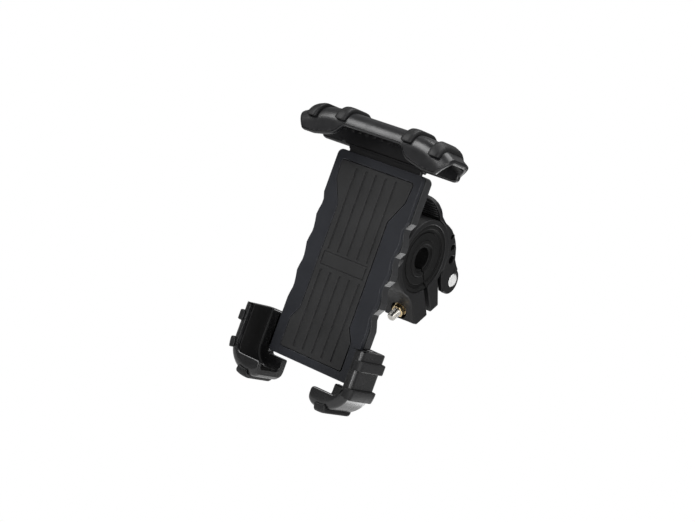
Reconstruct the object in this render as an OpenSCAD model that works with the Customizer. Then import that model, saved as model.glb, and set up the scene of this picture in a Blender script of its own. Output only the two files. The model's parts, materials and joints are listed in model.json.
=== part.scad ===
// Phone mount for a bicycle handlebar: a split clamp ring with a cam lever, a ball joint,
// and a flat holder with a sprung top jaw and two coupled corner claws.
// Millimetres, +Z up the holder, +X along the handlebar, -Y towards the rider.
// The origin is the centre of the clamp's handlebar bore.

/* [Holder] */
// Height of the holder body
body_h = 111; // [108:1:114]
// Width of the holder body at its top
body_w = 54.8; // [54:0.2:56]
// Thickness of the front cover plate
cover_t = 2.6; // [2.4:0.1:3]
// Overall thickness of cover and rear shell
body_t = 10.5; // [10.5:0.1:11.5]
// Depth of the wavy finger notches in the rear shell's sides
notch_depth = 2.2; // [1.6:0.1:2.4]
// Depth of the same notches in the front cover
cover_notch_depth = 1.3; // [0.8:0.1:1.6]
// How far the rubber pad stands proud of the cover
pad_proud = 0.35; // [0.2:0.05:0.6]

/* [Top jaw] */
// Half length of the top jaw
jaw_half = 48; // [46:1:50]
// Height of the jaw's crown above the body centre
jaw_top = 74.5; // [74:0.5:76]
// Front face of the jaw's lip, measured forward of the cover
jaw_front = 16.6; // [16:0.2:18]
// Wall thickness of jaw and claws
wall = 3.2; // [2.8:0.1:3.4]

/* [Claws] */
// Half width over the claws' side walls
claw_half = 39; // [38.6:0.1:40]
// Top of the claws, below the body centre
claw_top = 35.2; // [34:0.2:36]
// Bottom of the claws, below the body centre
claw_bottom = 69.8; // [69:0.2:71]
// Outer corner radius of a claw
claw_r = 14.5; // [13:0.5:15]

/* [Clamp] */
// Half width of the ring, ears and lever along the handlebar
clamp_half = 10; // [9.6:0.1:11]
// Inner radius of the bare ring
ring_r = 19; // [18.8:0.1:19.2]
// Outer radius of the ring
ring_outer_r = 22; // [21.8:0.1:22.2]
// Radius of the handlebar bore in the innermost rubber insert
bar_r = 6.25; // [6:0.05:8]
// Angle that the clamp's ears are swung backwards from straight down
ear_roll = 42.5; // [40:0.5:45]
// Width of the slit between the ears
slit_w = 3.1; // [2.6:0.1:3.4]

/* [Ball joint] */
// Radius of the ball
ball_r = 8.5; // [8:0.1:8.8]
// Distance from the handlebar axis to the ball's centre
ball_reach = 33.6; // [33.4:0.1:33.8]

/* [Hidden] */
$fn = 64;
tiny = 0.01;
holder_y = 55.8;            // cover's front face, forward of the handlebar axis
holder_z = 15;              // handlebar axis above the body's centre
half_h = body_h / 2;
half_w = body_w / 2;

// Body side waves
notch_count = 4;
notch_first = 31.6;         // height where the first notch's ramp starts
notch_pitch = 15.3;
notch_taper = 0.2;          // how much narrower the body is after each notch
body_corner = 3;

// Inside of the body
shell_wall = 1.6;
cavity_half = 23.3;
cavity_back = body_t - 1.5;
slider_half = 23;
slider_y0 = cover_t + 0.3;
slider_y1 = slider_y0 + 2.4;
slider_bottom = -18;
guide_slot = [3.7, 41.3];   // lower and upper end of the slider's centre slot
guide_slot_half = 3.3;
boss_r = 3;
screw_spots = [[0, 38], [-19.5, -28.5], [19.5, -28.5], [0, -26]];
screw_r = 1.2;
screw_head_r = 2.5;
spring_x = 12;
spring_r = 1.6;
spring_wire = 0.45;
spring_y = slider_y1 + 0.3 + spring_r;
spring_z = [-26.5, 21];
spring_turns = 8;

// Rubber pad
pad_pocket = 1.3;
pad_gap = 0.35;
rib_pitch = 6.3;
label_half = [14.25, 3.8];
label_z = -0.5;

// Claw arms, racks and pinion
arm_y0 = slider_y0;
arm_y1 = arm_y0 + 3.7;
arm_top = -36.5;
arm_bottom = -53.6;
arm_inner = 15;
rack_inner = 12;
pinion_z = -46;
tooth_module = 0.8;
pinion_teeth = 8;
pinion_pitch_r = tooth_module * pinion_teeth / 2;
tooth_pitch = PI * tooth_module;
tooth_addendum = 0.45;
tooth_dedendum = 0.75;
rack_bar = 4.4;
post_r = 1.6;

// Clamp, in the frame that is turned by ear_roll so that the ears point down
bolt_z = -29.2;
bolt_r = 2.45;
bolt_tip = -21.5;
pin_y = 22.2;
pin_r = 3.75;
slit_y = -1.05;             // middle of the slit between the ears
ear_front = -14;
ear_back = 7.6;
ear_back_top = 9.4;
ear_end = -36.5;
ear_slope_top = -24;
nut_seat = -11.5;
nut_pocket_r = 4.9;
nut_flange_r = 4;
nut_flange_t = 1;
nut_h = 4;
nut_r = 3.7;                // over the nut's corners
cheek_inner = 7;
washer_half = 6.6;
washer_z = [-33.8, -24.5];
cam_flat = 12;
lever_clear = ring_outer_r + 0.35;

// Rubber inserts that fill the ring, from the outside in
insert_r = [ring_r, 14.7, 10.3, bar_r];
insert_half = [9.5, 9, 9.3];
insert_slit = 0.8;
rim_step = 0.9;             // depth of the step around each insert's end
outer_step_r = 16.6;
inner_step_r = 8;

// Ball joint
liner_gap = 0.1;
liner_t = 1.6;
liner_r = ball_r + liner_gap + liner_t;
socket_r = liner_r + 0.1;
ball_y = holder_y - ball_reach;     // ball centre behind the cover's front face
sleeve_r = 12.3;
collar_r = 16;
collar_y = [body_t + 0.3, ball_y + 6];
stud_neck_r = 4.4;
stud_flange_r = 8;
stud_flange_t = 2.4;
stud_screw_r = 1.55;
stud_head_r = 3;
stud_head_t = 1.4;
boss_half = 9;              // half width of the ring's flat boss behind the ball stud
boss_front = holder_y - ring_outer_r - 0.2;

// ---------- helpers ----------

// Holder modules are drawn with the cover's front face at y = 0 and the body's centre at z = 0
module at_holder() translate([0, -holder_y, -holder_z]) children();

// Clamp modules are drawn with the ears straight down
module at_clamp() rotate([ear_roll, 0, 0]) children();

// Outline in X and Z, made solid from y0 to y1
module slab(y0, y1) translate([0, y1, 0]) rotate([90, 0, 0]) linear_extrude(y1 - y0) children();

// Outline in Y and Z, made solid along X from x0 to x1
module rail(x0, x1) translate([x0, 0, 0]) rotate([90, 0, 90]) linear_extrude(x1 - x0) children();

// Cylinder along Y from y0 to y1
module rod_y(r, y0, y1) translate([0, y1, 0]) rotate([90, 0, 0]) cylinder(h = y1 - y0, r = r);

// Cylinder along X from x0 to x1
module rod_x(r, x0, x1) translate([x0, 0, 0]) rotate([0, 90, 0]) cylinder(h = x1 - x0, r = r);

module block(x, y, z) translate([x[0], y[0], z[0]]) cube([x[1] - x[0], y[1] - y[0], z[1] - z[0]]);

function arc(c, r, from, to, steps) =
    [for (i = [0:steps]) c + r * [cos(from + (to - from) * i / steps), sin(from + (to - from) * i / steps)]];

function flip_x(points) = [for (i = [len(points) - 1:-1:0]) [-points[i][0], points[i][1]]];

// ---------- holder body ----------

function side_x(k) = half_w - notch_taper * k;

// Right edge of the body from the top corner down to the bottom corner
function body_side(depth) = concat(
    arc([half_w - body_corner, half_h - body_corner], body_corner, 90, 0, 5),
    [for (k = [0:notch_count - 1]) let (top = notch_first - notch_pitch * k, x = side_x(k))
        each [[x, top], [x - depth, top - 3.8], [x - depth, top - 6.4], [x - 0.3, top - 12]]],
    arc([side_x(notch_count) - body_corner / 2, body_corner / 2 - half_h], body_corner / 2, 0, -90, 3));

module body_outline(depth) polygon(concat(body_side(depth), flip_x(body_side(depth))));

// Right edge of the rubber pad, from top to bottom
pad_side = [[22.3, 50.8], [22.8, 50.3], [23.3, 48.8], [22.5, 40], [16.3, 27.8], [16.6, -29],
            [20.3, -35.3], [20.5, -50], [19.8, -51]];

module pad_outline(grow) offset(delta = grow) polygon(concat(pad_side, flip_x(pad_side)));

module front_cover() color([0.17, 0.18, 0.2]) at_holder() {
    difference() {
        slab(0, cover_t) body_outline(cover_notch_depth);
        slab(-1, pad_pocket) pad_outline(0);
    }
    for (spot = screw_spots) translate([spot[0], 0, spot[1]]) difference() {
        rod_y(boss_r, cover_t - tiny, cavity_back);
        rod_y(screw_r + 0.05, cover_t + 1, body_t);
    }
}

module rib_groove(x, z0, z1) block([x - 0.35, x + 0.35], [-2, 0.1], [z0, z1]);

module front_pad() color([0.2, 0.2, 0.21]) at_holder() difference() {
    slab(-pad_proud, pad_pocket) pad_outline(-pad_gap);
    for (k = [-2:2]) {
        rib_groove(k * rib_pitch, 4.5, 48.5);
        rib_groove(k * rib_pitch, -48.5, -7);
    }
    difference() {
        slab(-2, 0) translate([0, label_z]) square(2 * label_half + [0.8, 0.8], center = true);
        slab(-3, 1) translate([0, label_z]) square(2 * label_half, center = true);
    }
}

module rear_shell() color([0.16, 0.17, 0.18]) at_holder() {
    difference() {
        slab(cover_t, body_t) body_outline(notch_depth);
        block([-cavity_half, cavity_half], [0, cavity_back],
              [shell_wall - half_h, half_h - shell_wall]);
        block([-cavity_half, cavity_half], [0, slider_y1 + 0.3], [0, half_h + 1]);
        for (side = [-1, 1]) scale([side, 1, 1])
            block([cavity_half - 1, half_w + 1], [0, arm_y1 + 0.3], [arm_bottom - 0.3, arm_top + 0.3]);
        for (spot = screw_spots) translate([spot[0], 0, spot[1]]) {
            rod_y(screw_r + 0.3, cavity_back - 1, body_t + 1);
            rod_y(screw_head_r + 0.2, body_t - 0.9, body_t + 1);
        }
    }
    translate([0, 0, pinion_z]) rod_y(post_r, slider_y0 + 0.4, cavity_back + tiny);
    for (side = [-1, 1]) {
        translate([side * spring_x, 0, spring_z[0] - 1.5]) rod_y(1.3, spring_y - 0.8, cavity_back + tiny);
        scale([side, 1, 1]) block([19.5, 22], [slider_y1 + 0.3, cavity_back + tiny], [-16, 52]);
    }
}

module ball_socket() color([0.16, 0.17, 0.18]) at_holder() translate([0, 0, holder_z]) difference() {
    rod_y(sleeve_r, body_t, ball_y);
    translate([0, ball_y, 0]) sphere(socket_r);
}

module shell_screws() color("silver") at_holder()
    for (spot = screw_spots) translate([spot[0], 0, spot[1]]) {
        difference() {
            rod_y(screw_head_r, body_t - 0.9, body_t - 0.1);
            translate([0, body_t - 0.6, 0]) block([-1.6, 1.6], [0, 1], [-0.3, 0.3]);
            translate([0, body_t - 0.6, 0]) block([-0.3, 0.3], [0, 1], [-1.6, 1.6]);
        }
        rod_y(screw_r, cover_t + 1.2, body_t - 0.9 + tiny);
    }

// ---------- springs ----------

// Closed tube swept along a helix that climbs in Z
module coil(r, wire, height, turns) {
    sides = 6;
    steps = 9;
    rings = turns * steps;
    points = [for (i = [0:rings]) let (a = 360 * i / steps, z = height * i / rings)
        for (j = [0:sides - 1]) let (b = 360 * j / sides)
            [(r + wire * cos(b)) * cos(a), (r + wire * cos(b)) * sin(a), z + wire * sin(b)]];
    walls = [for (i = [0:rings - 1]) for (j = [0:sides - 1]) let (n = (j + 1) % sides)
        each [[i * sides + j, (i + 1) * sides + j, (i + 1) * sides + n],
              [i * sides + j, (i + 1) * sides + n, i * sides + n]]];
    start = [[for (j = [0:sides - 1]) j]];
    end = [[for (j = [sides - 1:-1:0]) rings * sides + j]];
    polyhedron(concat(points), concat(walls, start, end));
}

module jaw_spring(side) color("silver") at_holder()
    translate([side * spring_x, spring_y, spring_z[0] + spring_wire])
        coil(spring_r - spring_wire, spring_wire, spring_z[1] - spring_z[0] - 2 * spring_wire, spring_turns);

module left_jaw_spring() jaw_spring(-1);

module right_jaw_spring() jaw_spring(1);

// Flat spiral that winds outwards around the pinion's post
spiral_turns = 3;
spiral_r = [2.1, 4.2];
spiral_t = 0.3;
function spiral(shift, turn) = (spiral_r[0] + shift + (spiral_r[1] - spiral_r[0]) * turn / spiral_turns)
    * [cos(360 * turn), sin(360 * turn)];

module claw_spring() color("silver") at_holder() translate([0, 0, pinion_z])
    slab(arm_y1 + 0.5, cavity_back - 0.2) polygon(concat(
        [for (i = [0:24 * spiral_turns]) spiral(0, i / 24)],
        [for (i = [24 * spiral_turns:-1:0]) spiral(spiral_t, i / 24)]));

// ---------- top jaw ----------

jaw_lip_bottom = 57.7;
jaw_inside_top = jaw_top - wall;
droop_start = 25;
droop_end = 7;
jaw_back = 7;
end_round = 5;
lip_depth = 8;              // the arch is cut in the lip only, forward of this
ledge_y = [3, 7];           // ledge between the jaw's back plate and its slider
ledge_z = [56.6, 58.2];

// How far the jaw's crown has sunk at a distance x from its middle
function droop(x) = abs(x) < droop_start ? 0
    : droop_end * pow((abs(x) - droop_start) / (jaw_half - droop_start), 2);

// Outside of the jaw in Y and Z, from the front lip over the crown to the back plate
function jaw_outside(grow) = concat(
    [[-jaw_front - grow, 45]],
    arc([-jaw_front + 8, jaw_top - 8], 8 + grow, 180, 90, 8),
    arc([jaw_back - 6, jaw_top - 6], 6 + grow, 90, 0, 6),
    [[jaw_back + grow, 45]]);

// Space inside of the jaw's walls
function jaw_inside() = concat(
    [[wall - jaw_front, 40]],
    arc([-jaw_front + 8, jaw_inside_top - 5], 8 - wall, 180, 90, 5),
    arc([0.5, jaw_inside_top - 2.5], 2.5, 90, 0, 3),
    [[3, 40]]);

// Closed solid through outlines of equal length, each given as points in space
module loft(stations) {
    n = len(stations[0]);
    last = len(stations) - 1;
    points = [for (station = stations) each station];
    walls = [for (i = [0:last - 1]) for (j = [0:n - 1]) let (k = (j + 1) % n)
        each [[i * n + j, i * n + k, (i + 1) * n + k], [i * n + j, (i + 1) * n + k, (i + 1) * n + j]]];
    polyhedron(points, concat(walls, [[for (j = [n - 1:-1:0]) j]], [[for (j = [0:n - 1]) last * n + j]]));
}

// An outline in Y and Z carried along the jaw and sunk with its crown
module along_jaw(outline, half) {
    stations = concat([for (k = [-6:-1]) -droop_start + (half - droop_start) * (k + 1) / 5],
                      [for (k = [1:6]) droop_start + (half - droop_start) * (k - 1) / 5]);
    loft([for (x = stations) [for (p = outline) [x, p[0], p[1] - droop(x)]]]);
}

// Front view of the jaw's right half: drooping end, lip and arch
function jaw_front_side(arch) = concat(
    [[0, jaw_top + 1], [jaw_half, jaw_top + 1], [jaw_half, 62]],
    arc([jaw_half - 6, jaw_lip_bottom + 4], 4, -10, -90, 4),
    arch ? [[38.5, jaw_lip_bottom], [31.3, 59], [24, 61.8], [19, 66.3], [0, 66.3]]
         : [[39, jaw_lip_bottom], [0, jaw_lip_bottom]]);

module jaw_front_outline(arch)
    polygon(concat(jaw_front_side(arch), flip_x(jaw_front_side(arch))));

// The jaw from above, with rounded ends
module jaw_plan() {
    right = concat(arc([jaw_half - end_round, end_round - jaw_front], end_round, -90, 0, 5),
                   arc([jaw_half - end_round, jaw_back - end_round], end_round, 0, 90, 5));
    polygon(concat(right, flip_x(right)));
}

module top_jaw() color([0.09, 0.09, 0.1]) at_holder() {
    intersection() {
        difference() {
            along_jaw(jaw_outside(0), jaw_half);
            along_jaw(jaw_inside(), jaw_half + 1);
        }
        linear_extrude(jaw_top + 2) jaw_plan();
        union() {
            slab(-jaw_front - 1, -lip_depth) jaw_front_outline(true);
            slab(-lip_depth, lip_depth) jaw_front_outline(false);
        }
    }
    difference() {
        slab(slider_y0, slider_y1) polygon([[-slider_half, slider_bottom], [slider_half, slider_bottom],
                                           [slider_half, ledge_z[1]], [-slider_half, ledge_z[1]]]);
        block([-guide_slot_half, guide_slot_half], [0, body_t], guide_slot);
    }
    slab(ledge_y[0], ledge_y[1]) polygon([[-23.5, ledge_z[0]], [23.5, ledge_z[0]],
                                          [24.5, ledge_z[1]], [-24.5, ledge_z[1]]]);
    for (side = [-1, 1]) scale([side, 1, 1])
        block([spring_x - spring_r, spring_x + spring_r], [slider_y1 - tiny, cavity_back - 0.3],
              [spring_z[1] + 0.1, spring_z[1] + 2.5]);
}

liner_half = 24;
liner_t1 = 1.4;
nub_pitch = 4.6;
nub_half = 0.8;
nub_front_y = [-13.25, -12.65];
liner_bottom = 67;
nub_front_z = [64.9, liner_bottom + 0.05];
module top_jaw_liner() color([0.06, 0.06, 0.06]) at_holder() {
    rail(-liner_half, liner_half) difference() {
        intersection() {
            polygon(jaw_inside());
            translate([-20, liner_bottom]) square([40, 10]);
        }
        translate([0, -liner_t1]) polygon([
            [-11.6, 0], [-11.6, jaw_inside_top - 3], [-9.4, jaw_inside_top - 0.6],
            [-8, jaw_inside_top], [0.4, jaw_inside_top], [1.6, jaw_inside_top - 1.2], [1.6, 0]]);
    }
    for (k = [-4:4]) translate([k * nub_pitch, 0, 0]) {
        block([-nub_half, nub_half], [-9.6, 0.6], [jaw_inside_top - 2.2, jaw_inside_top - liner_t1 + tiny]);
        block([-nub_half, nub_half], nub_front_y, nub_front_z);
    }
}

band_w = 6.3;
band_raise = 2.2;
band_spots = [-38.9, -21, 21, 38.9];
band_front_end = 68.5;      // where the bands stop on the lip's front
module top_jaw_bands() color([0.05, 0.05, 0.05]) at_holder() difference() {
    intersection() {
        along_jaw(jaw_outside(band_raise), jaw_half);
        union() for (x = band_spots) {
            block([x - band_w / 2, x + band_w / 2], [-30, 20], [band_front_end - droop(x), jaw_top + 5]);
            block([x - band_w / 2, x + band_w / 2], [0, 20], [jaw_lip_bottom + 2.5, jaw_top]);
        }
    }
    along_jaw(jaw_outside(0), jaw_half);
}

// ---------- corner claws, drawn for the right side ----------

lip_t = 3;
claw_y0 = -16.4;
claw_y1 = 7.4;
lip_inner = 17.5;
foot_inner = 17.5;
foot_top = -57.7;
lip_round = 3.6;
lip_top = -60.6;
lip_side = 34.5;

claw_c = [claw_half - claw_r, claw_r - claw_bottom];
function claw_arc(inset, steps) = arc(claw_c, claw_r - inset, 0, -90, steps);

// Everything outside of the wall's inner face is kept by this outline
module claw_wall_outline(from, to, end) polygon(concat(
    [[claw_half - from, -claw_top]], claw_arc(from, 10), [[end, from - claw_bottom]],
    [[end, to - claw_bottom]], [for (p = flip_x(claw_arc(to, 10))) [-p[0], p[1]]],
    [[claw_half - to, -claw_top]]));

module claw_foot_outline() polygon(concat(
    [[27.4, -claw_top], [claw_half, -claw_top]], claw_arc(0, 10),
    [[foot_inner, -claw_bottom], [foot_inner, foot_top], [27.4, foot_top]]));

module claw_lip_outline() polygon(concat(
    [[lip_side, -claw_top], [claw_half, -claw_top]], claw_arc(0, 10),
    arc([lip_inner + lip_round, lip_round - claw_bottom], lip_round, -90, -180, 4),
    arc([lip_inner + 1.5, lip_top - 1.5], 1.5, 180, 90, 3),
    arc([lip_side - 4.5, lip_top + 4.5], 4.5, -90, 0, 5)));

module rack_teeth(x0, x1, up) for (k = [ceil(x0 / tooth_pitch - 0.5):floor(x1 / tooth_pitch - 0.5)])
    translate([(k + 0.5) * tooth_pitch, up * pinion_pitch_r]) scale([1, up])
        polygon([[-0.66, tooth_dedendum + tiny], [0.66, tooth_dedendum + tiny],
                 [0.24, -tooth_addendum], [-0.24, -tooth_addendum]]);

// The arm's rack runs above the pinion on the left claw and below it on the right claw
module claw_arm(up) {
    rack_z = up * (pinion_pitch_r + tooth_dedendum);
    slab(arm_y0, arm_y1) {
        polygon([[arm_inner, arm_bottom], [28.5, arm_bottom], [28.5, arm_top], [arm_inner, arm_top]]);
        translate([0, pinion_z]) {
            scale([1, up]) translate([-rack_inner, up * rack_z])
                square([rack_inner + arm_inner + tiny, rack_bar - 1]);
            rack_teeth(-rack_inner, arm_inner - 1, up);
        }
    }
}

module claw(up) {
    slab(claw_y0, claw_y1) claw_wall_outline(0, wall, lip_inner + 1);
    slab(claw_y0, claw_y0 + lip_t) claw_lip_outline();
    slab(arm_y0, claw_y1) claw_foot_outline();
    claw_arm(up);
}

module claw_liner() {
    slab(claw_y0 + lip_t + 0.01, arm_y0 - 0.01) claw_wall_outline(wall, wall + 1.3, lip_inner + 2);
    for (k = [0:2]) block([20 + 3.4 * k, 21.6 + 3.4 * k], [claw_y0 + 5, 0],
                          [wall + 1.2 - claw_bottom, wall + 2.1 - claw_bottom]);
}

// A strip around the claw's outside, kept between two limits in X and Z
module claw_band(x, z) difference() {
    intersection() {
        slab(claw_y0 - 0.8, claw_y1 + 0.8) claw_wall_outline(-1.9, 2.6, foot_inner);
        block(x, [-20, 20], z);
    }
    block([0, claw_half], [claw_y0, claw_y1], [-claw_bottom + claw_r, 0]);
    slab(claw_y0, claw_y1) claw_wall_outline(0, 10, 0);
}

side_band_x = [30, 45];
side_band_z = [[-45.2, -40], [-59.9, -54.6]];
foot_band_x = [22.9, 29.5];
module claw_bands() {
    for (z = side_band_z) claw_band(side_band_x, z);
    claw_band(foot_band_x, [-75, -60]);
}

module left_claw() color([0.09, 0.09, 0.1]) at_holder() mirror([1, 0, 0]) claw(1);

module left_claw_liner() color([0.06, 0.06, 0.06]) at_holder() mirror([1, 0, 0]) claw_liner();

module left_claw_bands() color([0.05, 0.05, 0.05]) at_holder() mirror([1, 0, 0]) claw_bands();

module right_claw() color([0.09, 0.09, 0.1]) at_holder() claw(-1);

module right_claw_liner() color([0.06, 0.06, 0.06]) at_holder() claw_liner();

module right_claw_bands() color([0.05, 0.05, 0.05]) at_holder() claw_bands();

module claw_pinion() color("ivory") at_holder() translate([0, 0, pinion_z]) difference() {
    slab(arm_y0 + 0.2, arm_y1 + 0.2) union() {
        circle(pinion_pitch_r - tooth_dedendum);
        for (k = [0:pinion_teeth - 1]) rotate(360 * k / pinion_teeth)
            polygon([[0, -0.62], [pinion_pitch_r - 0.3, -0.5], [pinion_pitch_r + tooth_addendum, -0.2],
                     [pinion_pitch_r + tooth_addendum, 0.2], [pinion_pitch_r - 0.3, 0.5], [0, 0.62]]);
    }
    rod_y(post_r + 0.06, 0, body_t);
}

// ---------- ball joint ----------

module ball_stud() color([0.3, 0.3, 0.32]) at_holder() translate([0, 0, holder_z]) difference() {
    union() {
        translate([0, ball_y, 0]) sphere(ball_r);
        rod_y(stud_neck_r, ball_y, boss_front - stud_flange_t + tiny);
        rod_y(stud_flange_r, boss_front - stud_flange_t, boss_front);
    }
    rod_y(stud_screw_r + 0.05, ball_y, boss_front + 1);
}

module stud_screw() color("silver") at_holder() translate([0, 0, holder_z]) {
    head_y = holder_y - ring_r - 0.2;
    rod_y(stud_screw_r, ball_y + 1, head_y - stud_head_t + tiny);
    difference() {
        rod_y(stud_head_r, head_y - stud_head_t, head_y);
        translate([0, head_y - 0.8, 0]) rotate([-90, 0, 0]) cylinder(h = 2, r = 1.3, $fn = 6);
    }
}

module ball_liner() color([0.85, 0.85, 0.82]) at_holder() translate([0, ball_y, holder_z]) difference() {
    sphere(liner_r);
    sphere(ball_r + liner_gap);
    rod_y(liner_r, 5.6, liner_r + 1);
    rod_y(liner_r, -liner_r - 1, -8.4);
    block([-0.6, 0.6], [-4, liner_r], [0, liner_r + 1]);
}

grip_lobes = 9;
module collar_nut() color([0.08, 0.08, 0.09]) at_holder() translate([0, 0, holder_z]) difference() {
    rod_y(collar_r, collar_y[0], collar_y[1]);
    rod_y(sleeve_r + 0.1, collar_y[0] - 1, ball_y + 0.4);
    translate([0, ball_y, 0]) sphere(socket_r);
    rod_y(7.8, ball_y, collar_y[1] + 1);
    for (k = [0:grip_lobes - 1]) rotate([0, 360 * k / grip_lobes, 0])
        translate([collar_r + 1.6, 0, 0]) rod_y(3, 0, collar_y[1] + 1);
}

// ---------- clamp ----------

function ear_back_at(z) = ear_back + (ear_back_top - ear_back) * (z - ear_end) / (ear_slope_top - ear_end);

// Ring and ears in Y and Z, with the slit between the ears
module clamp_section() difference() {
    union() {
        circle(ring_outer_r);
        polygon([[-19, -8], [-14.6, -20], [ear_front, -24], [ear_front - 0.4, -34.5], [-12, ear_end],
                 [ear_back, ear_end], [ear_back_top, ear_slope_top], [ear_back_top, -19], [0, -10]]);
    }
    circle(ring_r);
    translate([slit_y - slit_w / 2, -50]) square([slit_w, 50]);
}

module clamp_ring() color([0.1, 0.1, 0.11]) difference() {
    union() {
        at_clamp() rail(-clamp_half, clamp_half) clamp_section();
        difference() {
            block([-boss_half, boss_half], [boss_front - holder_y, -17], [-stud_flange_r, stud_flange_r]);
            rod_x(ring_r + 1, -20, 20);
        }
    }
    at_clamp() translate([0, 0, bolt_z]) {
        rod_y(bolt_r + 0.15, -20, 20);
        rod_y(nut_pocket_r, -20, nut_seat);
    }
    rod_y(stud_screw_r + 0.15, -30, 0);
    rod_y(stud_head_r + 0.2, -ring_r - stud_head_t - 0.2, 0);
}

// Split rubber ring number k, counted from the outside
module insert_ring(k) difference() {
    rod_x(insert_r[k], -insert_half[k], insert_half[k]);
    rod_x(insert_r[k + 1], -20, 20);
    at_clamp() block([-20, 20], [slit_y - insert_slit / 2, slit_y + insert_slit / 2], [-50, 0]);
}

// Wider mouth at both ends of insert number k
module mouth(k, r) for (side = [-1, 1]) scale([side, 1, 1])
    rod_x(r, insert_half[k] - rim_step, insert_half[k] + 1);

module outer_insert() color([0.07, 0.07, 0.07]) difference() {
    insert_ring(0);
    mouth(0, outer_step_r);
}

module middle_insert() color([0.09, 0.09, 0.09]) insert_ring(1);

module inner_insert() color([0.06, 0.06, 0.06]) difference() {
    insert_ring(2);
    mouth(2, inner_step_r);
}

module clamp_bolt() color("silver") at_clamp() translate([0, 0, bolt_z])
    rod_y(bolt_r, bolt_tip, pin_y);

module lever_pin() color("gainsboro") at_clamp() translate([0, pin_y, bolt_z]) difference() {
    rod_x(pin_r, -clamp_half, clamp_half);
    rod_y(bolt_r, -10, 0);
}

module cam_washer() color([0.12, 0.12, 0.12]) at_clamp() difference() {
    rail(-washer_half, washer_half) polygon([
        [ear_back_at(washer_z[1]), washer_z[1]], [cam_flat - 0.1, washer_z[1]],
        [cam_flat - 0.1, washer_z[0]], [ear_back_at(washer_z[0]), washer_z[0]]]);
    translate([0, 0, bolt_z]) rod_y(bolt_r + 0.15, 0, 20);
}

module clamp_nut() color("goldenrod") at_clamp() translate([0, 0, bolt_z]) difference() {
    union() {
        rod_y(nut_flange_r, nut_seat - nut_flange_t, nut_seat - 0.05);
        translate([0, nut_seat - nut_h, 0]) rotate([-90, 0, 0])
            cylinder(h = nut_h - nut_flange_t + tiny, r = nut_r, $fn = 6);
    }
    rod_y(bolt_r + 0.08, -20, 0);
}

// Outside of the lever in Y and Z, from the lobe up to the thumb tongue and back down the outside
lever_outside = [[12.5, -31], [12.2, -29.2], [12.2, -23.4], [13.2, -19], [14, -10], [14, 10],
                 [17.3, 15], [17.3, 27.5], [20, 27.5], [19.9, 19], [19.8, 15.5], [21.8, 10.2],
                 [24.2, 6.6], [26.2, 3], [27.6, -1.5], [28.1, -6], [28, -10.3], [27.2, -13.8],
                 [26.2, -17.2], [26.6, -20.5], [27.2, -25]];
lobe_c = [20.2, -28.4];
lobe_r = 7.5;
lever_holes = [[25.8, -1.8, 1.4], [25.2, -8.6, 1.9], [22.9, -15.4, 2.4]];
tongue_top = 26.8;
tongue_r = 9;
tongue_half = 9.6;
lever_swing = 150;
bolt_slot = 3.2;            // half width of the room that the bolt needs between the lever's cheeks
slot_reach = 16;

// Room that the bolt sweeps as the lever swings open about its pin
module bolt_sweep() polygon(concat(
    [[-slot_reach, bolt_slot], [0, bolt_slot],
     bolt_slot * [cos(lever_swing - 90), sin(lever_swing - 90)]],
    arc([0, 0], slot_reach + 0.3, lever_swing - 171, -191, 12)));

// The lever from behind: straight cheeks, with the tongue's corners rounded
module lever_back_outline() polygon(concat(
    [[-clamp_half - 0.5, -45], [clamp_half + 0.5, -45]],
    arc([tongue_half - tongue_r, tongue_top - tongue_r], tongue_r, 0, 90, 6),
    arc([tongue_r - tongue_half, tongue_top - tongue_r], tongue_r, 90, 180, 6)));

module lever_section() difference() {
    union() {
        polygon(lever_outside);
        translate(lobe_c) circle(lobe_r);
    }
    circle(lever_clear);
    translate([pin_y, bolt_z]) circle(pin_r + 0.06);
    for (h = lever_holes) translate([h[0], h[1]]) circle(h[2]);
}

module cam_lever() color([0.1, 0.1, 0.11]) at_clamp() intersection() {
    union() {
        rail(-cheek_inner, cheek_inner) difference() {
            lever_section();
            translate([pin_y, bolt_z]) bolt_sweep();
        }
        rail(cheek_inner, clamp_half) lever_section();
        rail(-clamp_half, -cheek_inner) lever_section();
    }
    slab(0, 40) lever_back_outline();
}

clamp_ring();
ball_stud();
stud_screw();
outer_insert();
middle_insert();
inner_insert();
clamp_bolt();
lever_pin();
cam_washer();
clamp_nut();
cam_lever();
ball_liner();
collar_nut();
front_cover();
front_pad();
rear_shell();
ball_socket();
shell_screws();
left_jaw_spring();
right_jaw_spring();
claw_spring();
top_jaw();
top_jaw_liner();
top_jaw_bands();
left_claw();
left_claw_liner();
left_claw_bands();
right_claw();
right_claw_liner();
right_claw_bands();
claw_pinion();
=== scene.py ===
import json
import math
import bmesh
import bpy
from mathutils import Matrix, Vector

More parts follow.
